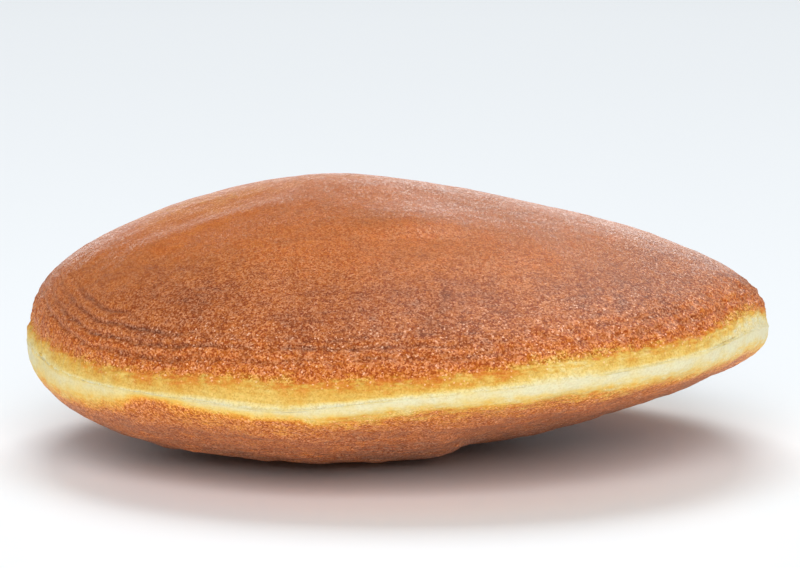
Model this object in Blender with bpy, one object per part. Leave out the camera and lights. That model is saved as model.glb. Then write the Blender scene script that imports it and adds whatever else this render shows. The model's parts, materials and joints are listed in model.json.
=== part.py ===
"""A dorayaki: two griddled pancakes, domed and slightly uneven, pressed together at their pale rims.

The cake rests on the flat foot of its lower pancake, +Z up, with the longest way across along X and the
side that is looked at towards -Y. The origin is at the middle of its outline, on the surface it rests on.

Each pancake starts as a sphere of rings. Every ring belongs to one zone of the pancake's cross-section,
and every point of it is put where that zone passes at the point's azimuth.
"""

import math

import bmesh
import bpy

MM = 0.001

# Outline of the lower pancake's rim, seen from above: nearly round.
HALF_LENGTH = 47.9 * MM
HALF_DEPTH = 46.0 * MM

# Height of the seam between the pancakes. It leans up to one side, waves twice round the cake, dips where
# the upper crust hangs lowest and lifts where the rims are pinched together at both ends.
SEAM_HEIGHT = 14.3 * MM
SEAM_LEAN = 1.7 * MM
SEAM_LEAN_AZIMUTH = 305
SEAM_WAVE = 1.6 * MM
SEAM_WAVE_AZIMUTH = 339
SEAM_DIP = -1.0 * MM
SEAM_DIP_AZIMUTH = 253
SEAM_DIP_SPREAD = 10
SEAM_END_LIFT = 1.1 * MM
SEAM_END_AZIMUTHS = (192, 340)
SEAM_END_SPREAD = 13
SEAM_GAP = 0.3 * MM

# The pale rims meet in a crease, deep along the sides and almost pinched shut at the ends.
CREASE_DEPTH = 1.6 * MM
CREASE_DEPTH_AT_ENDS = 0.25 * MM
PINCH_SHARPNESS = 4
MEETING_HEIGHT = 14.0 * MM

# Upper pancake: an off-centre top, a crust that overhangs a band of golden crumb, and a low wall at its
# edge. Sizes that vary round the cake are given for its left, right and front.
TOP_HEIGHT = 35.4 * MM
TOP_OFFSET = -8.3 * MM
TOP_ROUNDING = 0.14
CRUST_INSET = 0.6 * MM
CRUST_UNDERCUT = 0.85 * MM
CRUST_ROUNDING = 0.4 * MM
BAND_HEIGHT = 1.3 * MM
BAND_SWELL = 1.2 * MM
BAND_SWELL_AZIMUTH = 250
BAND_SWELL_SPREAD = 14
WALL_SHARPNESS = 16
WALL_HEIGHT = {"left": 0.5 * MM, "right": 0.4 * MM, "front": 0.8 * MM}
DOME_ROUNDNESS = {"left": 1.2, "right": 1.18, "front": 1.7}
DOME_FULLNESS = {"left": 0.46, "right": 0.54, "front": 0.68}

# Broad swells and dents of the dome, which fade out at its edge: place, radius and height of each.
SWELL_FADE = 4
DOME_SWELLS = (
    (-22 * MM, 9 * MM, 11 * MM, 0.25 * MM),
    (-19 * MM, -12 * MM, 9 * MM, -0.35 * MM),
    (6 * MM, -9 * MM, 8 * MM, -0.4 * MM),
    (19 * MM, 12 * MM, 11 * MM, -0.2 * MM),
    (3 * MM, 26 * MM, 10 * MM, -0.35 * MM),
)

# Lower pancake: a pale bulge below the seam, and a bowl-shaped underside with a flat foot left of the
# middle and a shallow fold across it on the right.
BULGE_DROP = 0.8 * MM
FOOT_OFFSET = -6.8 * MM
FOOT_SINK = 0.3 * MM
BOWL_WALL_SHARPNESS = 18
BOWL_WALL_HEIGHT = {"left": 3.4 * MM, "right": 3.7 * MM, "front": 2.3 * MM}
BOWL_ROUNDNESS = {"left": 2.6, "right": 2.9, "front": 2.6}
BOWL_FULLNESS = {"left": 0.82, "right": 1.44, "front": 1.46}
FOLD_PLACE = 5.0 * MM
FOLD_WIDTH = 0.5 * MM
FOLD_RISE = 1.0 * MM
FOLD_BEND = 90 * MM
FOLD_MIDDLE = -16 * MM
FOLD_REACH = 26 * MM
FOLD_FADE = 3

# Rings of each pancake, from its outer pole to the pole where it touches the other one.
SEGMENTS = 88
FACE_RINGS = 18
ROUNDING_RINGS = 2
BAND_RINGS = 2
MEETING_RINGS = 6
RINGS = FACE_RINGS + ROUNDING_RINGS + BAND_RINGS + MEETING_RINGS

BROWNED_CRUST = (0.42, 0.17, 0.07, 1.0)
PALE_CRUMB = (0.82, 0.62, 0.28, 1.0)
CRUST_ROUGHNESS = 0.5
CRUMB_ROUGHNESS = 0.7


def swell(azimuth, middle, spread):
    """Return a soft bump between 0 and 1, in degrees round the cake, that peaks at the middle."""
    away = (azimuth - middle + 180) % 360 - 180
    return math.exp(-((away / spread) ** 2))


def around(azimuth, sizes):
    """Return a size that passes smoothly from its left value through the front one to the right one."""
    sideways = (sizes["left"] + sizes["right"] - 2 * sizes["front"]) / 4
    slope = (sizes["right"] - sizes["left"]) / 2
    turn = math.radians(azimuth)
    return sizes["front"] + sideways + slope * math.cos(turn) + sideways * math.cos(2 * turn)


def rim_radius(azimuth):
    """Return the radius of the oval rim."""
    turn = math.radians(azimuth)
    return 1 / math.hypot(math.cos(turn) / HALF_LENGTH, math.sin(turn) / HALF_DEPTH)


def seam_height(azimuth):
    """Return the height of the wavy seam at the rim."""
    lean = SEAM_LEAN * math.cos(math.radians(azimuth - SEAM_LEAN_AZIMUTH))
    wave = SEAM_WAVE * math.cos(2 * math.radians(azimuth - SEAM_WAVE_AZIMUTH))
    dip = SEAM_DIP * swell(azimuth, SEAM_DIP_AZIMUTH, SEAM_DIP_SPREAD)
    lift = SEAM_END_LIFT * sum(swell(azimuth, end, SEAM_END_SPREAD) for end in SEAM_END_AZIMUTHS)
    return SEAM_HEIGHT + lean + wave + dip + lift


def crease_radius(azimuth):
    """Return the radius at which the two rims meet."""
    pinch = math.cos(math.radians(azimuth)) ** PINCH_SHARPNESS
    return rim_radius(azimuth) - CREASE_DEPTH + pinch * (CREASE_DEPTH - CREASE_DEPTH_AT_ENDS)


def band_height(azimuth):
    """Return the height of the golden band between the seam and the crust's edge."""
    return BAND_HEIGHT + BAND_SWELL * swell(azimuth, BAND_SWELL_AZIMUTH, BAND_SWELL_SPREAD)


def on_ray(azimuth, centre, radius, share):
    """Return the X and Y of the point a share of the way from a centre on the X axis to the outline."""
    turn = math.radians(azimuth)
    x = centre + share * (radius * math.cos(turn) - centre)
    return x, share * radius * math.sin(turn)


def meeting_point(azimuth, share, side):
    """Return a point where the pancakes touch; the side is 1 for the upper one and -1 for the lower."""
    x, y = on_ray(azimuth, 0, crease_radius(azimuth), share)
    flat = MEETING_HEIGHT + (seam_height(azimuth) - MEETING_HEIGHT) * share**2
    return x, y, flat + side * SEAM_GAP / 2


def dome_point(azimuth, share):
    """Return a point of the upper crust, a share of the way from the top of the dome to its edge."""
    x, y = on_ray(azimuth, TOP_OFFSET, rim_radius(azimuth) - CRUST_INSET, share)
    edge = seam_height(azimuth) + band_height(azimuth) + CRUST_ROUNDING
    wall = around(azimuth, WALL_HEIGHT)
    power = around(azimuth, DOME_ROUNDNESS)
    tip = TOP_ROUNDING**power
    fall = (math.hypot(share, TOP_ROUNDING) ** power - tip) / (math.hypot(1, TOP_ROUNDING) ** power - tip)
    height = edge + wall * math.sqrt(max(0, 1 - share**WALL_SHARPNESS))
    height += (TOP_HEIGHT - edge - wall) * max(0, 1 - fall) ** around(azimuth, DOME_FULLNESS)
    for middle_x, middle_y, radius, rise in DOME_SWELLS:
        away = math.hypot(x - middle_x, y - middle_y) / radius
        height += rise * math.exp(-(away**2)) * (1 - share**SWELL_FADE)
    return x, y, height


def crust_edge_point(azimuth, share):
    """Return a point of the rounded edge where the upper crust turns under."""
    turn = share * math.pi / 2
    radius = rim_radius(azimuth) - CRUST_INSET - CRUST_UNDERCUT * (1 - math.cos(turn))
    x, y = on_ray(azimuth, 0, radius, 1)
    height = seam_height(azimuth) + band_height(azimuth) + CRUST_ROUNDING * (1 - math.sin(turn))
    return x, y, height


def band_point(azimuth, share):
    """Return a point of the golden band, from under the crust's edge down to the crease."""
    start = rim_radius(azimuth) - CRUST_INSET - CRUST_UNDERCUT
    x, y = on_ray(azimuth, 0, start + (crease_radius(azimuth) - start) * share, 1)
    low = seam_height(azimuth) + SEAM_GAP / 2
    return x, y, low + band_height(azimuth) * (1 - share)


def underside_point(azimuth, share):
    """Return a point of the lower crust, a share of the way from the foot's middle to the rim."""
    x, y = on_ray(azimuth, FOOT_OFFSET, rim_radius(azimuth), share)
    edge = seam_height(azimuth) - BULGE_DROP
    wall = around(azimuth, BOWL_WALL_HEIGHT)
    bowl = max(0, 1 - share ** around(azimuth, BOWL_ROUNDNESS)) ** around(azimuth, BOWL_FULLNESS)
    height = edge - wall * math.sqrt(max(0, 1 - share**BOWL_WALL_SHARPNESS))
    height -= (edge + FOOT_SINK - wall) * bowl
    past_fold = x - FOLD_PLACE - y**2 / (2 * FOLD_BEND)
    fold = FOLD_RISE / (1 + math.exp(-past_fold / FOLD_WIDTH))
    height += fold * min(1, FOLD_FADE * (1 - share)) * math.exp(-(((y - FOLD_MIDDLE) / FOLD_REACH) ** 2))
    return x, y, max(0, height)


def bulge_point(azimuth, share):
    """Return a point of the pale bulge, from the rim's widest line up into the crease."""
    turn = share * math.pi / 2
    crease = crease_radius(azimuth)
    radius = crease + (rim_radius(azimuth) - crease) * math.cos(turn)
    x, y = on_ray(azimuth, 0, radius, 1)
    height = seam_height(azimuth) - SEAM_GAP / 2
    return x, y, height - (BULGE_DROP - SEAM_GAP / 2) * (1 - math.sin(turn))


def upper_point(azimuth, ring):
    """Return the upper pancake's point on a ring, counted from the top."""
    if ring <= FACE_RINGS:
        return dome_point(azimuth, math.sin(math.pi / 2 * ring / FACE_RINGS))
    ring -= FACE_RINGS
    if ring <= ROUNDING_RINGS:
        return crust_edge_point(azimuth, ring / ROUNDING_RINGS)
    ring -= ROUNDING_RINGS
    if ring <= BAND_RINGS:
        return band_point(azimuth, ring / BAND_RINGS)
    return meeting_point(azimuth, 1 - (ring - BAND_RINGS) / MEETING_RINGS, 1)


def lower_point(azimuth, ring):
    """Return the lower pancake's point on a ring, counted from the foot."""
    if ring <= FACE_RINGS:
        return underside_point(azimuth, math.sin(math.pi / 2 * ring / FACE_RINGS))
    ring -= FACE_RINGS
    if ring <= ROUNDING_RINGS + BAND_RINGS:
        return bulge_point(azimuth, ring / (ROUNDING_RINGS + BAND_RINGS))
    ring -= ROUNDING_RINGS + BAND_RINGS
    return meeting_point(azimuth, 1 - ring / MEETING_RINGS, -1)


def clear_scene():
    """Remove every object of the scene."""
    for item in list(bpy.data.objects):
        bpy.data.objects.remove(item, do_unlink=True)


def food_material(name, colour, roughness):
    """Return a plain baked-batter material."""
    material = bpy.data.materials.new(name)
    material.use_nodes = True
    shader = material.node_tree.nodes["Principled BSDF"]
    shader.inputs["Base Color"].default_value = colour
    shader.inputs["Roughness"].default_value = roughness
    material.diffuse_color = colour
    return material


def make_pancake(name, place, from_top, material, collection):
    """Add one pancake, made from a sphere whose rings are laid along the pancake's cross-section."""
    form = bmesh.new()
    bmesh.ops.create_uvsphere(form, u_segments=SEGMENTS, v_segments=RINGS, radius=1)
    for point in form.verts:
        azimuth = math.degrees(math.atan2(point.co.y, point.co.x)) % 360
        polar = math.acos(max(-1, min(1, point.co.z))) / math.pi
        ring = round((polar if from_top else 1 - polar) * RINGS)
        point.co = place(azimuth, ring)
    bmesh.ops.recalc_face_normals(form, faces=form.faces)
    mesh = bpy.data.meshes.new(name)
    form.to_mesh(mesh)
    form.free()
    mesh.shade_smooth()
    mesh.materials.append(material)
    pancake = bpy.data.objects.new(name, mesh)
    collection.objects.link(pancake)
    return pancake


def build():
    """Build the whole cake."""
    clear_scene()
    dorayaki = bpy.data.collections.new("dorayaki")
    bpy.context.scene.collection.children.link(dorayaki)
    crust = food_material("browned_crust", BROWNED_CRUST, CRUST_ROUGHNESS)
    crumb = food_material("pale_crumb", PALE_CRUMB, CRUMB_ROUGHNESS)
    make_pancake("upper_pancake", upper_point, True, crust, dorayaki)
    make_pancake("lower_pancake", lower_point, False, crumb, dorayaki)


build()
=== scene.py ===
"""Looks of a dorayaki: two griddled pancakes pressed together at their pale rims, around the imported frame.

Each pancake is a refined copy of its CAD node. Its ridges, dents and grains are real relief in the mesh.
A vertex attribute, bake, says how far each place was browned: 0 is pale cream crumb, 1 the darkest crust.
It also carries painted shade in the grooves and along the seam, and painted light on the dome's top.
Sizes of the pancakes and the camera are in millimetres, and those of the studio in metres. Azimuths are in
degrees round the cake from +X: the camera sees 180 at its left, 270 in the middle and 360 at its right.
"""

import json
import logging
from dataclasses import dataclass
from enum import Enum
from functools import partial
from typing import Any

import bpy
import numpy as np
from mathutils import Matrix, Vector

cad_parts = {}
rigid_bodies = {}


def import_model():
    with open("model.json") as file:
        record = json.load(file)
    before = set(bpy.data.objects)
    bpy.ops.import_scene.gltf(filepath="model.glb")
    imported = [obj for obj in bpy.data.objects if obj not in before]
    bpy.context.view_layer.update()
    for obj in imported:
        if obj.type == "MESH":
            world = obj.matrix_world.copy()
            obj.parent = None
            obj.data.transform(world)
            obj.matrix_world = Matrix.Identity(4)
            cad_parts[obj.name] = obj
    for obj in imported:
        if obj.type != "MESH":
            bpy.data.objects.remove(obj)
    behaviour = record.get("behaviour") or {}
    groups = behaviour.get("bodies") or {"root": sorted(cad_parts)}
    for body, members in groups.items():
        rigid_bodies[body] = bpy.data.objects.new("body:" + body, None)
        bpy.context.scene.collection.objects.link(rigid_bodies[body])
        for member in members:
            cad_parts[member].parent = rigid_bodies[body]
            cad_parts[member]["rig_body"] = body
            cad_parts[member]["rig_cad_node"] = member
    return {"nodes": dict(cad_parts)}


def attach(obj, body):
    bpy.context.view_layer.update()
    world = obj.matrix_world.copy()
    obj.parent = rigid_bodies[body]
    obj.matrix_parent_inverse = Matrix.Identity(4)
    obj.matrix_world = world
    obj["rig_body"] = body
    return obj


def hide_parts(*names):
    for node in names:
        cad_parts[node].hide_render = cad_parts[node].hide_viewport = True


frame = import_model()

Piece = bpy.types.Object
Array = np.ndarray
Pair = tuple[float, float]
Place = tuple[float, float, float]
Colour = tuple[float, float, float, float]

MM = 0.001

# Both CAD nodes have this many segments round the cake.
SEGMENTS = 88
# How far below the seam the lower pancake is widest, and how far above it the crust's edge lies at least.
BULGE_DROP = 0.8
CLEAR_OF_SEAM = 0.5

# Colours of the batter by how far it was browned: cream crumb, gold, orange, then brown. The underside's are
# painted brighter, as painted light that stands in for the light its downward faces don't get.
BAKE_STEPS = (0.00, 0.10, 0.20, 0.30, 0.38, 0.46, 0.56, 0.66, 0.74, 0.84, 1.00)
DOME_COLOURS = (
    "#D5CEA9", "#DAC684", "#D4B25C", "#CC9B3F", "#C9842D", "#C37122",
    "#BA6421", "#B06329", "#A25827", "#8B4C29", "#683A2A",
)
UNDERSIDE_COLOURS_PAINTED_LIGHTER = (
    "#D5CEA9", "#D8C484", "#DCB75D", "#DBA03C", "#D88B2E", "#C8742A",
    "#B56832", "#9F623C", "#925E46", "#815443", "#643F35",
)

log = logging.getLogger("dorayaki")


class Run(Enum):
    """Which way the edges that a split takes run over a pancake."""

    ROUND = "round the cake"
    UP = "up its profile"


class Mark(Enum):
    """What a vertex tells the batter's material, each from 0 to 1."""

    BAKE = "bake"
    GRAIN = "grain"
    RAGGED = "ragged"


class Push(Enum):
    """Which way a relief moves the surface."""

    OUTWARD = "NORMAL"
    UPWARD = "Z"


class Reach(Enum):
    """What a light falls on."""

    CAKE = "the cake alone"
    FLOOR = "the floor alone"


def linear(hex_colour: str) -> Colour:
    """Turn an sRGB hex colour into a linear one.

    Args:
        hex_colour: six hex digits after a #.

    Returns:
        Red, green, blue and alpha.
    """
    parts = [int(hex_colour[start : start + 2], 16) / 255 for start in (1, 3, 5)]
    red, green, blue = [p / 12.92 if p <= 0.04045 else ((p + 0.055) / 1.055) ** 2.4 for p in parts]
    return red, green, blue, 1.0


def per_metre(size: float) -> float:
    """Return the texture scale at which one feature is this many millimetres wide."""
    return 1 / (size * MM)


def add_node(
    tree: bpy.types.NodeTree, kind: str, inputs: dict[Any, Any] | None = None, **settings: Any
) -> bpy.types.Node:
    """Add a node with its settings and links.

    Args:
        tree: the node tree that gets it.
        kind: the node's type.
        inputs: what its inputs get, each a value or the output socket that feeds it.
        settings: values of its properties, or the stops of its colour ramp.

    Returns:
        The new node.
    """
    node = tree.nodes.new(kind)
    for name, value in settings.items():
        if name != "stops":
            setattr(node, name, value)
            continue
        ramp = node.color_ramp.elements
        while len(ramp) < len(value):
            ramp.new(1.0)
        for element, (position, hex_colour) in zip(ramp, value):
            element.position = position
            element.color = linear(hex_colour)
    for name, value in (inputs or {}).items():
        if isinstance(value, bpy.types.NodeSocket):
            tree.links.new(value, node.inputs[name])
        else:
            node.inputs[name].default_value = value
    return node


def weighted_sum(
    tree: bpy.types.NodeTree, start: Any, parts: tuple[tuple[Any, Any], ...]
) -> bpy.types.NodeSocket:
    """Add up what nodes give.

    Args:
        tree: the node tree that gets the sum.
        start: what the parts are added to, a number or a socket.
        parts: pairs of a part and its amount, each a number or a socket.

    Returns:
        The socket that gives start and all parts times their amounts.
    """
    result = start
    for part, amount in parts:
        inputs = {0: part, 1: amount, 2: result}
        result = add_node(tree, "ShaderNodeMath", inputs, operation="MULTIPLY_ADD").outputs[0]
    return result


def deselect() -> None:
    """Deselect every object."""
    bpy.ops.object.select_all(action="DESELECT")


def apply_by_weight(
    piece: Piece, modifier: bpy.types.Modifier, weights: Array, least: float = 0.0
) -> None:
    """Apply a modifier to a piece, at each vertex as far as its weight says.

    Args:
        piece: the active object.
        modifier: its modifier.
        weights: each vertex's share of what the modifier does, from 0 to 1.
        least: a vertex with this weight or less is left as it is.
    """
    name = modifier.name
    group = piece.vertex_groups.new(name=name)
    for index in np.flatnonzero(weights > least):
        group.add([int(index)], float(weights[index]), "REPLACE")
    modifier.vertex_group = name
    bpy.ops.object.modifier_apply(modifier=name)
    piece.vertex_groups.remove(piece.vertex_groups[name])


def positions(piece: Piece) -> Array:
    """Read where each vertex of a piece lies.

    Args:
        piece: the piece.

    Returns:
        A row of x, y and z for each, in millimetres.
    """
    flat = np.empty(len(piece.data.vertices) * 3, np.float32)
    piece.data.vertices.foreach_get("co", flat)
    return flat.reshape(-1, 3).astype(float) / MM


def edge_ends(piece: Piece) -> Array:
    """Read which two vertices each edge of a piece joins.

    Args:
        piece: the piece.

    Returns:
        A row of two vertex numbers for each.
    """
    flat = np.empty(len(piece.data.edges) * 2, np.int32)
    piece.data.edges.foreach_get("vertices", flat)
    return flat.reshape(-1, 2)


def azimuth_of(points: Array) -> Array:
    """Return the azimuth of each point round the cake, in degrees from +X."""
    return np.degrees(np.arctan2(points[:, 1], points[:, 0])) % 360


def radius_of(points: Array) -> Array:
    """Return how far each point lies from the cake's axis."""
    return np.hypot(points[:, 0], points[:, 1])


def between(values: Array, low: float, high: float) -> Array:
    """Return whether each value lies between two others."""
    return (values > low) & (values < high)


def fade(values: Array, start: Any, end: Any) -> Array:
    """Return 0 where a value is at the start, 1 at the end, and a smooth passage between them."""
    share = np.clip((values - start) / (end - start), 0, 1)
    return share * share * (3 - 2 * share)


def crests(turns: Array) -> Array:
    """Return a wave that is 1 at each whole turn and 0 half way between."""
    return 0.5 + 0.5 * np.cos(2 * np.pi * turns)


@dataclass(frozen=True)
class Ramp:
    """A smooth passage: the values where it starts and ends, and its rise."""

    start: float
    end: float
    rise: float = 1.0

    def at(self, values: Array) -> Array:
        """Return the passage's height at each value."""
        return self.rise * fade(values, self.start, self.end)


@dataclass(frozen=True)
class Stretch:
    """A stretch with soft ends: the values where it starts, is full, wanes and is over."""

    start: float
    full: float
    wanes: float
    over: float

    def at(self, values: Array) -> Array:
        """Return how full the stretch is at each value, from 0 to 1."""
        return fade(values, self.start, self.full) * (1 - fade(values, self.wanes, self.over))


@dataclass(frozen=True)
class Swell:
    """A soft bump round the cake: its middle and spread in degrees, and its rise."""

    middle: float
    spread: float
    rise: float = 1.0

    def at(self, azimuth: Array) -> Array:
        """Return the bump's height at each azimuth."""
        away = (azimuth - self.middle + 180) % 360 - 180
        return self.rise * np.exp(-((away / self.spread) ** 2))


@dataclass(frozen=True)
class Ripple:
    """An even wave round the cake: how often it rises, how far, and its phase in degrees."""

    times: int
    rise: float
    phase: float = 0.0

    def at(self, azimuth: Array) -> Array:
        """Return the wave's height at each azimuth."""
        return self.rise * np.sin(np.radians(self.times * azimuth + self.phase))


Swells = tuple[Swell, ...]


def total(waves: tuple[Any, ...], azimuth: Array) -> Array:
    """Return the height of some swells or ripples together at each azimuth."""
    return sum(wave.at(azimuth) for wave in waves)


@dataclass(frozen=True)
class Fold:
    """A soft fold in the dome along a line seen from above: its ends and its half width."""

    start: Pair
    end: Pair
    width: float
    fullness: Stretch = Stretch(0.0, 0.3, 0.7, 1.0)

    def at(self, points: Array) -> Array:
        """Find how much of the fold's height each point gets.

        Args:
            points: the points.

        Returns:
            Each one's share, which wanes towards the ends and the sides of the fold.
        """
        start = np.array(self.start)
        run = np.array(self.end) - start
        share = np.clip((points[:, :2] - start) @ run / (run @ run), 0, 1)
        away = np.linalg.norm(points[:, :2] - start - share[:, None] * run, axis=1)
        return np.exp(-((away / self.width) ** 2)) * self.fullness.at(share)


@dataclass(frozen=True)
class RimLine:
    """The widest line round a pancake, read from its CAD node: its radius and height at each azimuth."""

    azimuths: Array
    radii: Array
    heights: Array

    @classmethod
    def of(cls, node: Piece, above: "RimLine | None" = None, by: float = 0.0) -> "RimLine":
        """Find the widest point of a node in each of its segments.

        Args:
            node: the pancake's CAD node.
            above: a line that the points have to lie above, if any.
            by: how far above it they have to lie.

        Returns:
            The line through those points.
        """
        points = positions(node)
        if above is not None:
            points = points[points[:, 2] > above.height(azimuth_of(points)) + by]
        radius = radius_of(points)
        segment = np.round(azimuth_of(points) * SEGMENTS / 360).astype(int) % SEGMENTS
        widest = []
        for number in range(SEGMENTS):
            inside = np.flatnonzero(segment == number)
            widest.append(inside[np.argmax(radius[inside])])
        return cls(np.arange(SEGMENTS) * 360 / SEGMENTS, radius[widest], points[widest, 2])

    def raised(self, by: float) -> "RimLine":
        """Return the line moved up by this much."""
        return RimLine(self.azimuths, self.radii, self.heights + by)

    def height(self, azimuth: Array) -> Array:
        """Return the line's height at each azimuth."""
        return np.interp(azimuth, self.azimuths, self.heights, period=360)

    def radius(self, azimuth: Array) -> Array:
        """Return the line's radius at each azimuth."""
        return np.interp(azimuth, self.azimuths, self.radii, period=360)


@dataclass(frozen=True)
class Rims:
    """The seam between the two pancakes, and the lower edge of the brown crust."""

    seam: RimLine
    edge: RimLine


@dataclass(frozen=True)
class Survey:
    """Where each vertex of a piece lies."""

    points: Array
    azimuth: Array
    radius: Array
    height: Array
    inset: Array
    above_seam: Array
    above_edge: Array
    reach: Array

    @classmethod
    def of(cls, piece: Piece, rims: Rims) -> "Survey":
        """Measure a piece.

        Args:
            piece: the piece.
            rims: the seam and the crust's edge.

        Returns:
            Each vertex's place, azimuth, radius and height, its distance inwards from the rim, its heights
            above the two lines, and its distance from the crust's edge.
        """
        points = positions(piece)
        azimuth, radius, height = azimuth_of(points), radius_of(points), points[:, 2]
        inset = rims.seam.radius(azimuth) - radius
        above_seam = height - rims.seam.height(azimuth)
        above_edge = height - rims.edge.height(azimuth)
        reach = np.hypot(rims.edge.radius(azimuth) - radius, above_edge)
        return cls(points, azimuth, radius, height, inset, above_seam, above_edge, reach)

    def up_band(self) -> Array:
        """Return how far up from the seam, at 0, to the crust's edge, at 1, each vertex lies."""
        return np.clip(self.above_seam / (self.above_seam - self.above_edge), 0, 1)


@dataclass(frozen=True)
class Patch:
    """A part of a pancake whose edges are split: which ones, and the bounds of a survey's values there."""

    run: Run
    bounds: tuple[tuple[str, float, float], ...]

    def holds(self, survey: Survey) -> Array:
        """Return whether each surveyed vertex lies in the patch."""
        return np.all([between(getattr(survey, name), low, high) for name, low, high in self.bounds], axis=0)


@dataclass(frozen=True)
class Relief:
    """A relief of the surface: its whole height, and the width of its features if it is a cloudy pattern.

    A plain relief, with no size, lifts the surface by its height, or sinks it if that is below zero. A cloudy
    one goes half of its height each way.
    """

    name: str
    height: float
    size: float = 0.0
    push: Push = Push.OUTWARD
    least: float = 0.002

    def press(self, piece: Piece, weights: Array) -> None:
        """Press the relief into a piece by a Displace modifier, which is applied.

        Args:
            piece: the active object.
            weights: how much of the relief each vertex gets, from 0 to 1.
        """
        modifier = piece.modifiers.new(self.name, "DISPLACE")
        modifier.direction = self.push.value
        modifier.strength = self.height * MM
        modifier.mid_level = 0.5 if self.size else 0.0
        if self.size:
            texture = bpy.data.textures.new(self.name, "CLOUDS")
            texture.noise_scale = self.size * MM
            modifier.texture = texture
            modifier.texture_coords = "LOCAL"
        apply_by_weight(piece, modifier, weights, self.least)


# Both pancakes bulge alike where they meet, so that they stay flush.
BULGE_UNEVENNESS = Relief("bulge_unevenness", 0.8, size=5.0)


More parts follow.
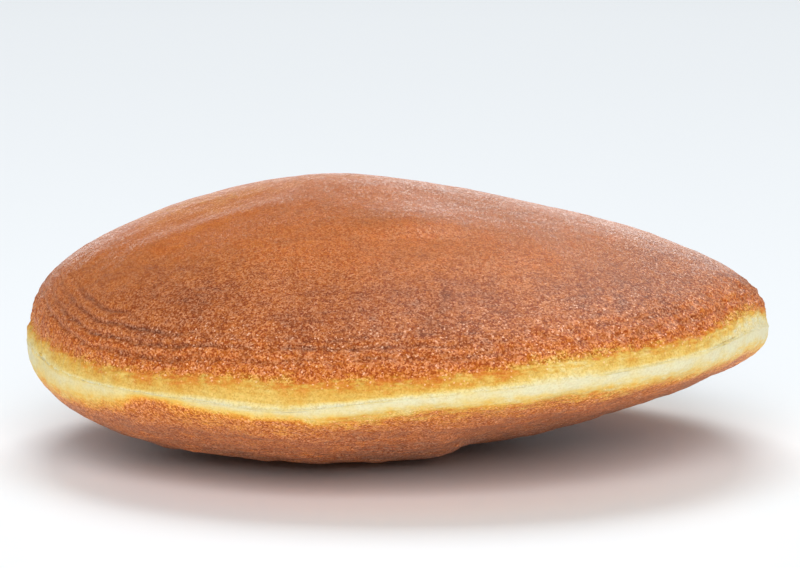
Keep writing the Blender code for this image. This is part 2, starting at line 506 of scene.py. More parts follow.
@dataclass(frozen=True)
class BakedBatter:
    """Griddled egg batter: a tight brown skin with a sandy grain, over soft pale crumb where the batter rose.

    The eye gets a slightly oily skin whose grains glint, partly by gloss and partly by painted glints, ragged
    golden edges where the browning stops, faint lines left by the batter's spreading, and cream crumb with
    fine pores.
    """

    name: str
    colours: tuple[str, ...] = DOME_COLOURS

    # The widths of its features. The skin's real grain is about 0.1, too fine to show in the render, so it is
    # drawn as coarse as it needs to show.
    grain: float = 0.19
    fine: float = 0.228
    pore: float = 0.8
    lump: float = 1.3
    line: float = 2.0
    line_flatness: float = 5.0
    blotch: float = 3.4
    patch: float = 17.0
    noise_roughness: float = 0.6

    # What each pattern adds to the browning, and what keeps its mean in place.
    lump_amount: float = 0.42
    line_amount: float = 0.62
    ragged_mean: float = -0.52
    blotch_amount: float = 0.22
    patch_amount: float = 0.16
    patchy_mean: float = -0.19

    # The sandy speckle: a toss for each grain with a fine noise. It darkens pits, partly as painted shade,
    # and pales grains, partly as painted glints, and a few grains get a pale painted glint.
    toss_amount: float = 0.8
    fine_amount: float = 0.6
    speckle_mean: float = -0.72
    speckle_span: float = 0.32
    pit_and_shade_tint: Colour = (0.60, 0.36, 0.12, 1.0)
    grain_and_glint_tint: Colour = (0.19, 0.125, 0.085, 1.0)
    # Painted glints: a few pale grains where the edge is ragged.
    painted_glint_share: float = 0.035
    painted_glint_colour: str = "#FFD2B4"
    painted_glint_strength: float = 0.4
    painted_glints_where_ragged: Pair = (0.4, 0.65)

    # The gloss: the refraction of baked sugar and fat, with a skin that starts where the crumb is browned.
    refraction: float = 1.45
    gloss: float = 0.28
    glint_share: float = 0.2
    skin_roughness: float = 0.48
    glint_roughness: float = 0.22
    crumb_roughness: float = 0.6
    skin_from: Pair = (0.15, 0.6)
    skin_on_crumb: float = 0.1
    softness: float = 0.08
    soft_reach: tuple[float, float, float] = (1.6, 0.8, 0.4)

    # The fine relief of pores and grains, too small for the mesh.
    pore_bump: float = 0.4
    grain_bump: float = -0.5
    bump_height: float = 0.45

    def material(self) -> bpy.types.Material:
        """Make the material.

        Returns:
            The material, which reads the marks of the vertices and Object coordinates.
        """
        material = bpy.data.materials.new(self.name)
        material.use_nodes = True
        tree = material.node_tree
        tree.nodes.clear()
        add = partial(add_node, tree)
        add_up = partial(weighted_sum, tree)
        marks = [add("ShaderNodeAttribute", attribute_name=mark.value).outputs["Fac"] for mark in Mark]
        bake, sandy, ragged = marks
        place = add("ShaderNodeTexCoord").outputs["Object"]
        flat = add("ShaderNodeMapping", {"Vector": place, "Scale": (1, 1, self.line_flatness)}).outputs[0]
        patterns = []
        for size, detail, vector in (
            (self.fine, 2.0, place),
            (self.lump, 2.0, place),
            (self.line, 2.0, flat),
            (self.blotch, 2.0, place),
            (self.patch, 1.0, place),
        ):
            inputs = {"Vector": vector, "Scale": per_metre(size), "Detail": detail}
            inputs["Roughness"] = self.noise_roughness
            patterns.append(add("ShaderNodeTexNoise", inputs).outputs["Fac"])
        fine, lumps, lines, blotches, patches = patterns
        grains = add("ShaderNodeTexVoronoi", {"Vector": place, "Scale": per_metre(self.grain)})
        pores = add("ShaderNodeTexVoronoi", {"Vector": place, "Scale": per_metre(self.pore)})
        toss = add("ShaderNodeSeparateColor", {"Color": grains.outputs["Color"]}).outputs["Red"]

        # Browning: what the griddle left, with the painted shade and light that bake also carries, broken up
        # by lumps and spread lines at its edges, and by patches.
        broken = add_up(self.ragged_mean, ((lines, self.line_amount), (lumps, self.lump_amount)))
        patchy = ((blotches, self.blotch_amount), (patches, self.patch_amount), (1.0, self.patchy_mean))
        browned = add_up(bake, ((broken, ragged), *patchy))
        stops = tuple(zip(BAKE_STEPS, self.colours))
        colour = add("ShaderNodeValToRGB", {"Fac": browned}, stops=stops).outputs["Color"]

        # Sandy speckle: dark pits between pale, oily grains, strongest where the skin is thick. The pits'
        # dark is partly painted shade, the grains' pallor partly painted glint, and the pale sprinkles are
        # painted glints.
        speckle = add_up(self.speckle_mean, ((fine, self.fine_amount), (toss, self.toss_amount)))
        speckle = add_up(0.0, ((speckle, sandy),))
        shares = []
        for value, start, end, low, high in (
            (speckle, 0.0, -self.speckle_span, 0.0, 1.0),
            (speckle, 0.0, self.speckle_span, 0.0, 1.0),
            (toss, 1 - self.painted_glint_share, 1 - self.painted_glint_share / 2, 0.0, self.painted_glint_strength),
            (ragged, *self.painted_glints_where_ragged, 0.0, 1.0),
            (toss, 1 - self.glint_share, 1 - self.glint_share / 2, self.skin_roughness, self.glint_roughness),
            (bake, *self.skin_from, self.skin_on_crumb, 1.0),
        ):
            inputs = {"Value": value, "From Min": start, "From Max": end, "To Min": low, "To Max": high}
            shares.append(add("ShaderNodeMapRange", inputs).outputs["Result"])
        pits, pale_glinting_grains, painted_glints, at_edges, oily, skin = shares
        for share, blend, tint in (
            (pits, "MULTIPLY", self.pit_and_shade_tint),
            (pale_glinting_grains, "ADD", self.grain_and_glint_tint),
            (add_up(0.0, ((painted_glints, at_edges),)), "MIX", linear(self.painted_glint_colour)),
        ):
            inputs = {0: share, 6: colour, 7: tint}
            colour = add("ShaderNodeMix", inputs, data_type="RGBA", blend_type=blend).outputs[2]

        # Gloss: a few grains are oily and smooth, the skin is satin, and the crumb is dull.
        inputs = {0: skin, 2: self.crumb_roughness, 3: oily}
        rough = add("ShaderNodeMix", inputs, data_type="FLOAT").outputs[0]
        bumps = (grains.outputs["Distance"], self.grain_bump), (pores.outputs["Distance"], self.pore_bump)
        inputs = {"Height": add_up(fine, bumps), "Strength": sandy}
        inputs["Distance"] = self.grain * MM * self.bump_height
        bump = add("ShaderNodeBump", inputs).outputs["Normal"]
        inputs = {"Base Color": colour, "Roughness": rough, "Normal": bump, "IOR": self.refraction}
        inputs |= {"Specular IOR Level": self.gloss, "Subsurface Weight": self.softness}
        inputs |= {"Subsurface Radius": self.soft_reach, "Subsurface Scale": MM}
        shader = add("ShaderNodeBsdfPrincipled", inputs)
        add("ShaderNodeOutputMaterial", {"Surface": shader.outputs[0]})
        return material


@dataclass(frozen=True)
class DomeBaking:
    """How the upper pancake was baked: cream by the seam, a golden band, then brown from its edge up, with
    painted shade in its grooves and painted light on its top.

    Amounts of browning and grain go from 0 to 1. A pair is an amount, and what is added to it where the edge
    is pale.
    """

    crumb: float = 0.04

    # The golden band, which starts above a cream strip. Where it is blended, the strip runs into it.
    cream_share: float = 0.13
    cream_places: Swells = (Swell(284, 16, 0.08), Swell(338, 11, 0.3))
    blended_place: Swell = Swell(188, 22)
    blend: float = 0.3
    pale_places: Swells = (
        Swell(340, 26), Swell(297, 10, 0.9), Swell(246, 9, 0.35), Swell(203, 14, 0.4),
    )
    band_foot: Pair = (0.14, -0.09)
    band_rise: Pair = (0.22, -0.02)
    band_curve: Pair = (0.8, 0.6)

    # The crust, whose colour starts on a wavy line near its edge.
    gold_top: float = 0.1
    gold_waves: Swells = (
        Swell(296, 16, 0.5), Swell(246, 11, 0.4), Swell(219, 9, 0.25), Swell(196, 16, -0.65),
        Swell(318, 12, -0.5), Swell(334, 7, 0.7), Swell(352, 9, -1.1), Swell(60, 25, 0.4),
        Swell(150, 20, 0.5),
    )
    edge_brown: Pair = (0.17, 0.1)
    edge_ramp: Ramp = Ramp(-0.7, 1.2)
    crust_brown: Ramp = Ramp(1.0, 5.0, 0.14)
    front_brown: Ramp = Ramp(2.0, 4.0, 0.05)
    front_end: Ramp = Ramp(8, 13)
    front_place: Swell = Swell(292, 26)
    # The dome's top is painted lighter, as painted light, and less so at the right.
    painted_light_top: Ramp = Ramp(7, 17, 0.13)
    less_painted_light_place: Swell = Swell(320, 35, 0.6)
    # Darker in the grooves: partly deeper browning, partly painted shade.
    groove_brown_and_shade: float = 0.14

    # The sandy grain, which wanes towards the top and in the smooth left part.
    crust_ramp: Ramp = Ramp(-0.6, 0.4)
    least_grain: float = 0.25
    smooth_top: float = 0.36
    smoother_top: Swell = Swell(200, 40, 0.06)
    grain_start: float = 2.0
    grain_end: float = 22.0
    shorter_grain: Swell = Swell(206, 22, 14.0)
    smooth_left: Swell = Swell(204, 20, 0.2)
    smooth_reach: Ramp = Ramp(2.5, 6.0)
    calmer_crust: Ramp = Ramp(3.0, 7.0, 0.12)

    # How ragged the browning is, most at the edge.
    least_ragged: float = 0.28
    ragged_edge: Ramp = Ramp(-1.4, -0.3, 0.56)
    even_crust: Ramp = Ramp(2.5, 8.0, 0.75)
    even_left: Swell = Swell(205, 24, 0.35)

    def band(self, survey: Survey, pale: Array) -> Array:
        """Work out the browning of the golden band.

        Args:
            survey: where the vertices lie.
            pale: how pale the edge is at each vertex.

        Returns:
            Each vertex's browning by the band alone.
        """
        up_band = survey.up_band()
        blended = self.blended_place.at(survey.azimuth)
        cream = self.cream_share + total(self.cream_places, survey.azimuth)
        golden = fade(up_band, cream * (1 - blended), cream * 2 + self.blend * blended)
        golden *= 1 - self.blend * blended
        foot, rise, curve = [
            plain + change * pale for plain, change in (self.band_foot, self.band_rise, self.band_curve)
        ]
        return golden * (foot + rise * up_band**curve)

    def marks(self, survey: Survey, grooves: Array) -> dict[Mark, Array]:
        """Work out what the vertices tell the batter's material.

        Args:
            survey: where they lie.
            grooves: how deep each lies in the grooves of the crust.

        Returns:
            The marks of each vertex.
        """
        azimuth, inset, above_edge = survey.azimuth, survey.inset, survey.above_edge
        above_gold = above_edge - self.gold_top - total(self.gold_waves, azimuth)
        pale = total(self.pale_places, azimuth)
        bake = self.crumb + self.band(survey, pale)
        bake += (self.edge_brown[0] + self.edge_brown[1] * pale) * self.edge_ramp.at(above_gold)
        bake += self.crust_brown.at(above_gold)
        front = (1 - self.front_end.at(inset)) * self.front_place.at(azimuth)
        bake += self.front_brown.at(above_gold) * front
        # Painted light: the dome's top is made paler.
        bake -= self.painted_light_top.at(inset) * (1 - self.less_painted_light_place.at(azimuth))
        # Painted shade in the grooves, with some deeper browning.
        bake += self.groove_brown_and_shade * grooves
        bake = np.where(survey.above_seam < 0, self.crumb, bake)

        smooth_top = self.smooth_top + self.smoother_top.at(azimuth)
        grain_end = self.grain_end - self.shorter_grain.at(azimuth)
        grain = np.maximum(self.crust_ramp.at(above_edge), self.least_grain)
        grain *= 1 - smooth_top * fade(inset, self.grain_start, grain_end)
        grain *= 1 - self.smooth_left.at(azimuth) * self.smooth_reach.at(survey.reach)
        grain *= 1 - self.calmer_crust.at(above_edge)

        ragged = self.ragged_edge.at(above_edge) * (1 - self.even_crust.at(above_edge))
        ragged = (self.least_ragged + ragged) * (1 - self.even_left.at(azimuth))
        return {Mark.BAKE: bake, Mark.GRAIN: grain, Mark.RAGGED: ragged}


@dataclass(frozen=True)
class UndersideBaking:
    """How the lower pancake was baked: a cream bulge under the seam, with painted shade along the seam, then
    gold into a brown underside.

    Amounts of browning and grain go from 0 to 1. The skin starts near a wavy line below the seam. A share
    says how far down a place lies: 0 at the seam, 1 at that line.
    """

    drop: float = 2.9
    drop_waves: Swells = (
        Swell(198, 12, 1.7), Swell(216, 8, 0.4), Swell(231, 7.5, -1.5), Swell(249, 13, -1.22),
        Swell(263, 6, 0.5), Swell(272, 8, -0.25), Swell(310, 18, 0.4), Swell(334, 18, 0.7),
        Swell(30, 25, 0.8), Swell(75, 18, -0.7), Swell(130, 22, 0.8),
    )
    # A golden tint along the seam: painted shade in the crease where the pancakes meet.
    seam_painted_shade: float = 0.10
    seam_painted_shade_end: Ramp = Ramp(0.05, 0.3)
    golden_places: Swells = (Swell(203, 8, 0.08), Swell(228, 17, 0.11), Swell(261, 6, 0.06))
    golden_end: Ramp = Ramp(0.6, 1.2)
    deeper_places: Swells = (Swell(226, 14, 0.11), Swell(255, 13, 0.10))
    deeper_start: Ramp = Ramp(0.95, 1.4)
    deeper_end: Ramp = Ramp(4.5, 7.0)
    brown_by_share: Ramp = Ramp(0.32, 1.25, 0.36)
    brown_by_depth: tuple[Ramp, ...] = (Ramp(3.2, 6.5, 0.18), Ramp(6, 13, 0.12))
    # Darker where the level lines sink.
    line_darkening: float = 0.16
    least_grain: float = 0.12
    sandy: Ramp = Ramp(0.6, 1.4, 0.85)
    least_ragged: float = 0.1
    ragged_edge: Ramp = Ramp(0.4, 0.8, 0.55)
    even_crust: Ramp = Ramp(1.2, 2.2, 0.2)
    even_left: Swell = Swell(225, 25, 0.35)

    def marks(self, survey: Survey, lines: Array) -> dict[Mark, Array]:
        """Work out what the vertices tell the batter's material.

        Args:
            survey: where they lie.
            lines: how deep each lies in the fine level lines.

        Returns:
            The marks of each vertex.
        """
        azimuth, below_seam = survey.azimuth, -survey.above_seam
        share = below_seam / (self.drop + total(self.drop_waves, azimuth))
        # Painted shade along the seam's crease.
        bake = self.seam_painted_shade * (1 - self.seam_painted_shade_end.at(share))
        bake += total(self.golden_places, azimuth) * (1 - self.golden_end.at(share))
        deeper = self.deeper_start.at(share) * (1 - self.deeper_end.at(below_seam))
        bake += total(self.deeper_places, azimuth) * deeper
        bake += self.brown_by_share.at(share) + sum(ramp.at(below_seam) for ramp in self.brown_by_depth)
        bake += self.line_darkening * lines
        grain = self.least_grain + self.sandy.at(share)
        ragged = self.least_ragged + self.ragged_edge.at(share) * (1 - self.even_crust.at(share))
        ragged *= 1 - self.even_left.at(azimuth)
        return {Mark.BAKE: bake, Mark.GRAIN: grain, Mark.RAGGED: ragged}


@dataclass(frozen=True)
class Pancake:
    """What both pancakes share: a refined, merged copy of a CAD node that gets relief, marks and batter."""

    node: str
    name: str
    slot: str
    batter: BakedBatter
    patches: tuple[Patch, ...]
    weld: float = 0.001
    smoothing: int = 2

    # An edge runs round the cake if this share of its length does, and widening pulls out to a far cylinder.
    round_share: float = 0.8
    far: float = 80.0

    def copy_solid(self) -> Piece:
        """Copy the CAD node and weld its loose triangles into quads.

        Returns:
            The copy, which is the active object.
        """
        deselect()
        solid = frame["nodes"][self.node]
        solid.select_set(True)
        bpy.context.view_layer.objects.active = solid
        bpy.ops.object.duplicate()
        piece = bpy.context.active_object
        piece.name = piece.data.name = self.name
        piece.parent = None
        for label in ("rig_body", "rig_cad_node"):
            del piece[label]
        bpy.ops.object.mode_set(mode="EDIT")
        bpy.ops.mesh.select_all(action="SELECT")
        bpy.ops.mesh.remove_doubles(threshold=self.weld * MM)
        bpy.ops.mesh.tris_convert_to_quads()
        bpy.ops.object.mode_set(mode="OBJECT")
        return piece

    def split(self, piece: Piece, wanted: Array, run: Run) -> None:
        """Split edges in half, for finer relief.

        Args:
            piece: the active object.
            wanted: whether each vertex lies where the edges are split.
            run: which edges are split.
        """
        points = positions(piece)
        first, second = edge_ends(piece).T
        step = points[second] - points[first]
        middle = (points[second] + points[first]) / 2
        # A hair is added, because an edge at the pole may have no radius.
        radius = radius_of(middle) + 1e-9
        round_way = np.abs(step[:, 0] * middle[:, 1] - step[:, 1] * middle[:, 0]) / radius
        runs_round = round_way > self.round_share * np.linalg.norm(step, axis=1)
        chosen = (runs_round if run is Run.ROUND else ~runs_round) & wanted[first] & wanted[second]
        bpy.ops.object.mode_set(mode="EDIT")
        bpy.ops.mesh.select_mode(type="EDGE")
        bpy.ops.mesh.select_all(action="DESELECT")
        bpy.ops.object.mode_set(mode="OBJECT")
        piece.data.edges.foreach_set("select", chosen)
        bpy.ops.object.mode_set(mode="EDIT")
        bpy.ops.mesh.subdivide(number_cuts=1)
        bpy.ops.object.mode_set(mode="OBJECT")

    def refine(self, piece: Piece, rims: Rims) -> Survey:
        """Subdivide a piece smoothly, and then split the edges of one patch after the other.

        Args:
            piece: the active object.
            rims: the seam and the crust's edge.

        Returns:
            Where the piece's vertices lie in the end.
        """
        modifier = piece.modifiers.new("smooth", "SUBSURF")
        modifier.levels = modifier.render_levels = self.smoothing
        bpy.ops.object.modifier_apply(modifier="smooth")
        for patch in self.patches:
            self.split(piece, patch.holds(Survey.of(piece, rims)), patch.run)
        return Survey.of(piece, rims)

    def widen(self, piece: Piece, radii: Array) -> None:
        """Move vertices straight out from the cake's axis, towards a cylinder far outside.

        Args:
            piece: the active object.
            radii: the radius that each vertex gets. One that lies further out stays there.
        """
        modifier = piece.modifiers.new("widen", "CAST")
        modifier.cast_type = "CYLINDER"
        modifier.use_radius_as_size = False
        modifier.size = self.far * MM
        modifier.factor = 1.0
        radius = radius_of(positions(piece))
        apply_by_weight(piece, modifier, np.clip((radii - radius) / (self.far - radius), 0, 1))

    def dress(self, piece: Piece, marks: dict[Mark, Array]) -> None:
        """Give a piece its marks and its batter, and put it on the cake's body.

        Args:
            piece: the active object.
            marks: what each vertex tells the batter's material.
        """
        for mark, amounts in marks.items():
            values = piece.data.attributes.new(mark.value, "FLOAT", "POINT")
            values.data.foreach_set("value", amounts.astype(np.float32))
        piece.data.materials.clear()
        piece.data.materials.append(self.batter.material())
        bpy.ops.object.shade_smooth()
        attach(piece, "root")
        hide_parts(self.node)


@dataclass(frozen=True)
class UpperPancake(Pancake):
    """The brown dome, its overhanging edge, and the golden band down to the seam."""

    node: str = "upper_pancake"
    name: str = "upper_pancake_crust"
    slot: str = "upper_crust"
    batter: BakedBatter = BakedBatter("griddled_batter_upper")
    baking: DomeBaking = DomeBaking()

    # The mesh is finer where the grooves are, and in two steps towards the crust's edge.
    patches: tuple[Patch, ...] = (
        Patch(Run.UP, (("azimuth", 174, 250), ("above_edge", 0.8, 10.0))),
        Patch(Run.ROUND, (("above_edge", -np.inf, 14.0), ("inset", -np.inf, 12.0))),
        Patch(Run.ROUND, (("above_edge", -np.inf, 3.2), ("inset", -np.inf, 12.0))),
    )

    # The golden band: a sharp corner at the seam, insets at the seam and at the crust's edge, and the seat
    # that sinks onto the lower pancake, past the gap between the two solids.
    gap: float = 0.3
    corner_reach: float = 2.2
    band_inset: Pair = (0.0, 0.6)
    band_swell: Swell = Swell(336, 8, 0.08)
    band_from: float = 0.05
    band_to: float = 0.2
    band_depth: float = 3.0
    seat: Relief = Relief("seat", -0.75, push=Push.UPWARD)
    seat_top: Ramp = Ramp(0.15, 1.3)
    eased_from: Ramp = Ramp(0.3, 0.7)
    eased_to: Ramp = Ramp(0.6, 1.8)
    ease_factor: float = 0.5
    ease_rounds: int = 14
    ease_least: float = 0.01
    band_folds: Relief = Relief("band_folds", 0.6, size=1.6)
    folds_from: tuple[Ramp, ...] = (Ramp(0.0, 0.4), Ramp(0.2, 0.9))
    folds_to: Ramp = Ramp(-0.6, -0.2)
    bulge_share: float = 0.9
    bulge_top: Ramp = Ramp(0.3, 1.8)

    # The terrace in the front of the dome, and the faint fold left of its top.
    terrace: Relief = Relief("terrace", 0.85)
    terrace_inset: Stretch = Stretch(19.5, 22.5, 23.0, 34.0)
    terrace_place: Swell = Swell(276, 17)
    shoulder: Relief = Relief("shoulder", 0.24)
    shoulder_line: Fold = Fold((-36.0, -16.8), (-10.0, -11.0), 2.4)

    # The grooves that follow the crust's edge, deep at the left, where the last ones also lie further up.
    groove: Relief = Relief("grooves", -0.36)
    groove_spacing: float = 1.65
    groove_sharpness: int = 3
    groove_start: float = 1.9
    groove_wobble: tuple[Ripple, ...] = (Ripple(23, 0.12), Ripple(41, 0.08, 60))
    groove_drift: Swells = (Swell(190, 17, 2.3), Swell(261, 17, 0.6), Swell(80, 30, 0.8))
    first_groove: Ramp = Ramp(-0.4, -0.2)
    last_groove: float = 5.5
    last_groove_left: Swell = Swell(203, 24, 4.0)
    groove_waning: float = 1.5
    faint_groove: float = 0.1
    groove_places: Swells = (
        Swell(216, 20, 0.95), Swell(258, 28, 0.75), Swell(318, 24, 0.4), Swell(90, 50, 0.3),
    )

    # The sandy lip at the crust's edge, smoother at the left, and the gentle dents of the dome.
    lip_heights: Stretch = Stretch(-1.1, -0.2, 2.0, 5.5)
    smooth_lip: Swell = Swell(205, 24, 0.6)
    lip_grains: Relief = Relief("lip_grains", 0.8, size=0.8)
    lip_waves: Relief = Relief("lip_waves", 1.1, size=3.4)
    dome_start: Ramp = Ramp(1.0, 6.0)
    dome_unevenness: Relief = Relief("dome_unevenness", 0.6, size=9.0)
    even_top: Ramp = Ramp(8, 20, 0.4)
    dome_dimples: Relief = Relief("dome_dimples", 0.12, size=2.2)

    def grooves(self, survey: Survey) -> Array:
        """Find how deep each place lies in the grooves left by the spreading batter.

        Args:
            survey: where the vertices lie.

        Returns:
            Each vertex's share of the grooves' depth, from 0 to 1.
        """
        azimuth, reach = survey.azimuth, survey.reach
        wobble = total(self.groove_wobble, azimuth)
        start = self.groove_start + wobble + total(self.groove_drift, azimuth)
        count = (reach - start) / self.groove_spacing
        last = self.last_groove + self.last_groove_left.at(azimuth)
        inside = self.first_groove.at(count) * (1 - fade(reach, last - self.groove_waning, last))
        inside *= survey.above_edge > 0
        strength = self.faint_groove + total(self.groove_places, azimuth)
        return strength * inside * crests(count) ** self.groove_sharpness

    def crease_corner(self, piece: Piece, seam: RimLine) -> None:
        """Keep the corner sharp where the golden band turns into the face that lies on the lower pancake.

        Args:
            piece: the active object.
            seam: the line between the two pancakes.
        """
        points = positions(piece)
        azimuth = azimuth_of(points)
        at_seam = np.abs(points[:, 2] - seam.height(azimuth) - self.gap / 2) < self.gap / 4
        corner = at_seam & (radius_of(points) > seam.radius(azimuth) - self.corner_reach)
        sharp = corner[edge_ends(piece)].all(axis=1)
        crease = piece.data.attributes.new("crease_edge", "FLOAT", "EDGE")
        crease.data.foreach_set("value", sharp.astype(np.float32))

    def press_band(self, piece: Piece, survey: Survey) -> None:
        """Widen the golden band until it is flush with the lower pancake, seat it there, and ease its crease.

        Args:
            piece: the active object.
            survey: where its vertices lie.
        """
        above_seam, above_edge, inset = survey.above_seam, survey.above_edge, survey.inset
        up_band = survey.up_band()
        low, high = self.band_inset
        wanted = low + (high - low) * up_band - self.band_swell.at(survey.azimuth) * (1 - up_band)
        on_band = (above_seam > self.band_from) & (above_edge < self.band_to) & (inset < self.band_depth)
        self.widen(piece, np.where(on_band, survey.radius + inset - wanted, 0))
        self.seat.press(piece, 1 - self.seat_top.at(above_seam))
        modifier = piece.modifiers.new("ease", "SMOOTH")
        modifier.factor = self.ease_factor
        modifier.iterations = self.ease_rounds
        eased = self.eased_from.at(above_seam) * (1 - self.eased_to.at(above_edge))
        apply_by_weight(piece, modifier, eased, self.ease_least)

    def press_crust(self, piece: Piece, survey: Survey) -> None:
        """Press the dents, folds, grooves and grains into the crust and the band.

        Args:
            piece: the active object.
            survey: where its vertices lay before the band was widened.
        """
        azimuth, inset = survey.azimuth, survey.inset
        above_seam, above_edge = survey.above_seam, survey.above_edge
        self.terrace.press(piece, self.terrace_inset.at(inset) * self.terrace_place.at(azimuth))
        self.shoulder.press(piece, self.shoulder_line.at(survey.points))
        self.groove.press(piece, self.grooves(survey))
        lip = self.lip_heights.at(above_edge) * (1 - self.smooth_lip.at(azimuth))
        for relief in (self.lip_grains, self.lip_waves):
            relief.press(piece, lip)
        dome = self.dome_start.at(above_edge)
        self.dome_unevenness.press(piece, dome * (1 - self.even_top.at(inset)))
        self.dome_dimples.press(piece, dome)
        folds = 1 - self.folds_to.at(above_edge)
        for ramp in self.folds_from:
            folds = folds * ramp.at(above_seam)
        self.band_folds.press(piece, folds)
        BULGE_UNEVENNESS.press(piece, self.bulge_share * (1 - self.bulge_top.at(above_seam)))

    def build(self, rims: Rims) -> Piece:
        """Build the upper pancake.

        Args:
            rims: the seam and the crust's edge.

        Returns:
            The dressed piece.
        """
        piece = self.copy_solid()
        self.crease_corner(piece, rims.seam)
        survey = self.refine(piece, rims)
        self.press_band(piece, survey)
        self.press_crust(piece, survey)
        self.dress(piece, self.baking.marks(survey, self.grooves(survey)))
        return piece


@dataclass(frozen=True)
class LowerPancake(Pancake):
    """The cream bulge under the seam and the browned underside with its flat foot."""

    node: str = "lower_pancake"
    name: str = "lower_pancake_crust"
    slot: str = "lower_crust"
    # The underside's ramp is painted lighter, as painted light.
    batter: BakedBatter = BakedBatter("griddled_batter_lower", UNDERSIDE_COLOURS_PAINTED_LIGHTER)
    baking: UndersideBaking = UndersideBaking()

    # The mesh is finer in two steps towards the seam, and where the lines are.
    patches: tuple[Patch, ...] = (
        Patch(Run.ROUND, (("above_seam", -9.0, np.inf), ("inset", -np.inf, 9.0))),
        Patch(Run.ROUND, (("above_seam", -3.8, np.inf), ("inset", -np.inf, 3.8))),
        Patch(Run.UP, (("height", 0.3, 7.0), ("azimuth", 193, 343))),
    )

    # The rounded shoulder that meets the upper pancake.
    shoulder_inset: float = 0.2
    shoulder_ramp: Ramp = Ramp(-0.8, -0.2)
    shoulder_depths: Pair = (0.12, 0.8)
    shoulder_reach: float = 1.2

    # The fold right of the foot, across the cake and up from the surface that it lies on.
    foot_fold: Relief = Relief("foot_fold", 0.35, push=Push.UPWARD)
    fold_across: Stretch = Stretch(5.3, 8.3, 26.0, 38.0)
    fold_up: Stretch = Stretch(0.8, 3.0, 7.0, 10.0)

    # The fine level lines of the browned underside, which waver and break.
    line: Relief = Relief("lines", -0.18)
    line_spacing: float = 0.6
    line_wobble: tuple[Ripple, ...] = (Ripple(11, 0.10), Ripple(29, 0.06, 40))
    line_heights: Stretch = Stretch(0.3, 1.0, 4.5, 6.5)
    line_place: Swell = Swell(262, 48)
    line_clear_of_seam: float = 3.0
    breaks: int = 17
    break_slant: float = 2.1
    break_depth: float = 0.4

    # The belly under the seam, fuller in two places, and the pits of its crumb.
    belly: Relief = Relief("belly", 0.65)
    belly_share: float = 0.1
    belly_swells: Swells = (Swell(346, 20, 0.75), Swell(200, 18, 0.5))
    belly_top: Ramp = Ramp(1.0, 3.0)
    belly_foot: Ramp = Ramp(0.6, 4.0)
    crumb_pits: Relief = Relief("crumb_pits", 0.15, size=0.9)
    off_foot: Ramp = Ramp(0.3, 2.0)
    off_seat: Ramp = Ramp(0.5, 3.0)
    rim_end: Ramp = Ramp(1.5, 4.0)

    def lines(self, survey: Survey) -> Array:
        """Find how deep each place lies in the fine level lines of the browned underside.

        Args:
            survey: where the vertices lie.

        Returns:
            Each vertex's share of the lines' depth, from 0 to 1.
        """
        azimuth, height = survey.azimuth, survey.height
        wave = crests((height + total(self.line_wobble, azimuth)) / self.line_spacing)
        slanted = np.sin(np.radians(self.breaks * azimuth) + self.break_slant * height)
        broken = 1 - self.break_depth + self.break_depth * slanted
        place = self.line_heights.at(height) * self.line_place.at(azimuth)
        return wave * broken * place * (survey.above_seam < -self.line_clear_of_seam)

    def press_reliefs(self, piece: Piece, survey: Survey) -> None:
        """Press the fold, the lines, the shoulder, the belly and the pits into the pancake.

        Args:
            piece: the active object.
            survey: where its vertices lie.
        """
        across, height, inset = survey.points[:, 0], survey.height, survey.inset
        below_seam = -survey.above_seam
        self.foot_fold.press(piece, self.fold_across.at(across) * self.fold_up.at(height))
        self.line.press(piece, self.lines(survey))
        shoulder = survey.radius + inset - self.shoulder_inset * self.shoulder_ramp.at(survey.above_seam)
        on_shoulder = between(below_seam, *self.shoulder_depths) & (inset < self.shoulder_reach)
        self.widen(piece, np.where(on_shoulder, shoulder, 0))
        belly = self.belly_share + total(self.belly_swells, survey.azimuth)
        belly = belly * self.belly_top.at(below_seam) * self.belly_foot.at(height)
        self.belly.press(piece, np.clip(belly, 0, 1))
        outside = np.maximum(1 - self.rim_end.at(inset), self.off_seat.at(below_seam))
        for relief in (BULGE_UNEVENNESS, self.crumb_pits):
            relief.press(piece, self.off_foot.at(height) * outside)

    def build(self, rims: Rims) -> Piece:
        """Build the lower pancake.

        Args:
            rims: the seam and the crust's edge.

        Returns:
            The dressed piece.
        """
        piece = self.copy_solid()
        survey = self.refine(piece, rims)
        self.press_reliefs(piece, survey)
        self.dress(piece, self.baking.marks(survey, self.lines(survey)))
        return piece


@dataclass(frozen=True)
class Light:
    """A soft light that faces the cake: its middle, its size, and its power in watts.

    A mirrored one shows on what is glossy, and a shining one lights what is matt.
    """

    name: str
    place: Place
    size: Pair
    power: float
    mirrored: bool = True
    shining: bool = True
    reach: Reach = Reach.CAKE

    def build(self, lit: dict[Reach, bpy.types.Collection]) -> None:
        """Add the light, which no camera sees.

        Args:
            lit: what a light of each reach falls on.
        """
        bpy.ops.object.light_add(type="AREA", location=self.place)
        softbox = bpy.context.active_object
        softbox.name = self.name
        softbox.data.shape = "RECTANGLE"
        softbox.data.size, softbox.data.size_y = self.size
        softbox.data.energy = self.power
        softbox.rotation_euler = (-Vector(self.place)).to_track_quat("-Z", "Y").to_euler()
        softbox.visible_camera = False
        softbox.visible_glossy = self.mirrored
        softbox.visible_diffuse = self.shining
        softbox.light_linking.receiver_collection = lit[self.reach]


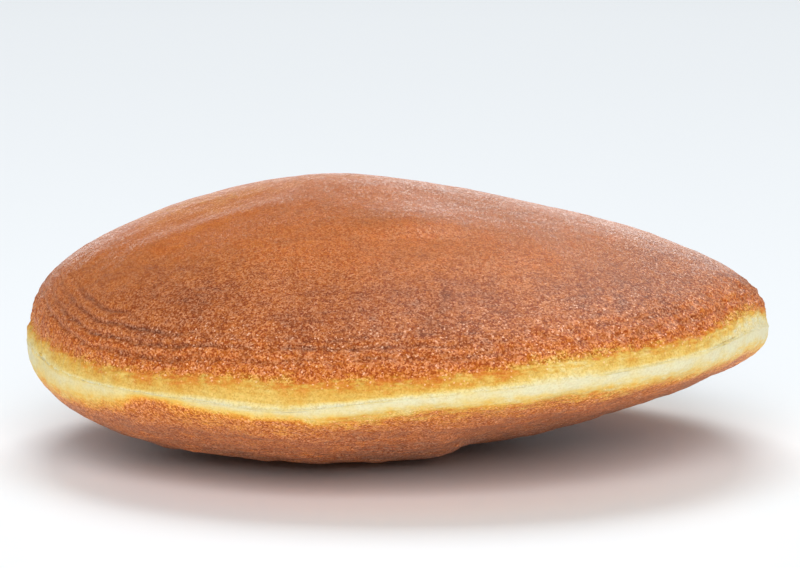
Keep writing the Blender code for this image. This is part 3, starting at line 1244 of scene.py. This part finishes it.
@dataclass(frozen=True)
class Studio:
    """A pale floor, a white surround and soft lights."""

    floor_radius: float = 6.0
    floor_colour: str = "#F5F9FC"
    floor_roughness: float = 0.25
    floor_gloss: float = 0.03
    surround_colour: str = "#F4F8FC"
    surround_strength: float = 0.32
    lights: tuple[Light, ...] = (
        Light("key", (0.66, 0.24, 0.90), (0.7, 0.7), 3.5),
        Light("overhead", (0.0, 0.0, 1.40), (1.0, 1.0), 6.5, mirrored=False),
        Light("fill", (-1.20, -0.50, 0.80), (1.0, 1.0), 4.6, mirrored=False),
        Light("low_front", (0.05, -1.5, 0.16), (1.8, 0.3), 15.5, mirrored=False),
        Light("low_right", (1.30, -0.70, 0.20), (0.8, 0.3), 4.0, mirrored=False),
        Light("low_left", (-1.40, -0.40, 0.20), (0.8, 0.3), 1.8, mirrored=False),
        Light("low_back", (0.10, 1.5, 0.22), (1.8, 0.3), 6.5, mirrored=False),
        Light("right_card", (0.43, 0.16, 1.00), (0.7, 0.7), 9.0, shining=False),
        Light("upper_card", (0.36, 0.80, 0.52), (0.4, 0.36), 0.7, shining=False),
        Light("back_card", (-0.04, 1.4, 0.29), (1.0, 0.46), 3.8, shining=False),
        Light("sparkle", (-0.15, -0.8, 0.75), (0.12, 0.12), 1.0, shining=False),
        Light("floor_front", (0.0, -4.0, 2.6), (3.0, 3.0), 200.0, mirrored=False, reach=Reach.FLOOR),
        Light("floor_back", (0.0, 1.8, 3.2), (2.0, 2.0), 76.0, mirrored=False, reach=Reach.FLOOR),
    )

    def build_floor(self) -> Piece:
        """Add the round pale floor, smooth and slightly glossy.

        Returns:
            The floor.
        """
        deselect()
        bpy.ops.mesh.primitive_circle_add(vertices=96, radius=self.floor_radius, fill_type="NGON")
        floor = bpy.context.active_object
        floor.name = floor.data.name = "floor"
        material = bpy.data.materials.new("pale_glazed_floor")
        material.use_nodes = True
        shader = material.node_tree.nodes["Principled BSDF"]
        shader.inputs["Base Color"].default_value = linear(self.floor_colour)
        shader.inputs["Roughness"].default_value = self.floor_roughness
        shader.inputs["Specular IOR Level"].default_value = self.floor_gloss
        floor.data.materials.append(material)
        return floor

    def light(self, lit: dict[Reach, bpy.types.Collection]) -> None:
        """Light the set from all round, and with the soft lights.

        Args:
            lit: what a light of each reach falls on.
        """
        world = bpy.data.worlds.new("white_surround")
        bpy.context.scene.world = world
        world.use_nodes = True
        background = world.node_tree.nodes["Background"]
        background.inputs["Color"].default_value = linear(self.surround_colour)
        background.inputs["Strength"].default_value = self.surround_strength
        for light in self.lights:
            light.build(lit)


@dataclass(frozen=True)
class Camera:
    """The camera, about 8 degrees above the level."""

    place: Place = (0.35, -400.0, 75.4)
    aim: Place = (0.35, 0.0, 21.2)
    lens: float = 140.0
    sensor: float = 36.0

    def build(self) -> None:
        """Add the camera and make it the scene's own."""
        bpy.ops.object.camera_add(location=Vector(self.place) * MM)
        camera = bpy.context.active_object
        camera.data.lens = self.lens
        camera.data.sensor_width = self.sensor
        look = Vector(self.aim) - Vector(self.place)
        camera.rotation_euler = look.to_track_quat("-Z", "Y").to_euler()
        bpy.context.scene.camera = camera


def main() -> None:
    """Build the cake and its set."""
    logging.basicConfig(level=logging.INFO, format="%(message)s")
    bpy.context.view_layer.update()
    seam = RimLine.of(frame["nodes"]["lower_pancake"]).raised(BULGE_DROP)
    rims = Rims(seam, RimLine.of(frame["nodes"]["upper_pancake"], above=seam, by=CLEAR_OF_SEAM))
    lit = {reach: bpy.data.collections.new(reach.name.lower()) for reach in Reach}
    for pancake in (UpperPancake(), LowerPancake()):
        piece = pancake.build(rims)
        lit[Reach.CAKE].objects.link(piece)
        triangles = sum(len(face.vertices) - 2 for face in piece.data.polygons)
        log.info("%s: %d triangles", piece.name, triangles)
    studio = Studio()
    lit[Reach.FLOOR].objects.link(studio.build_floor())
    studio.light(lit)
    log.info("studio: a floor and %d lights", len(studio.lights))
    Camera().build()
    bpy.context.scene.view_settings.view_transform = "Standard"


if __name__ == "__main__":
    main()
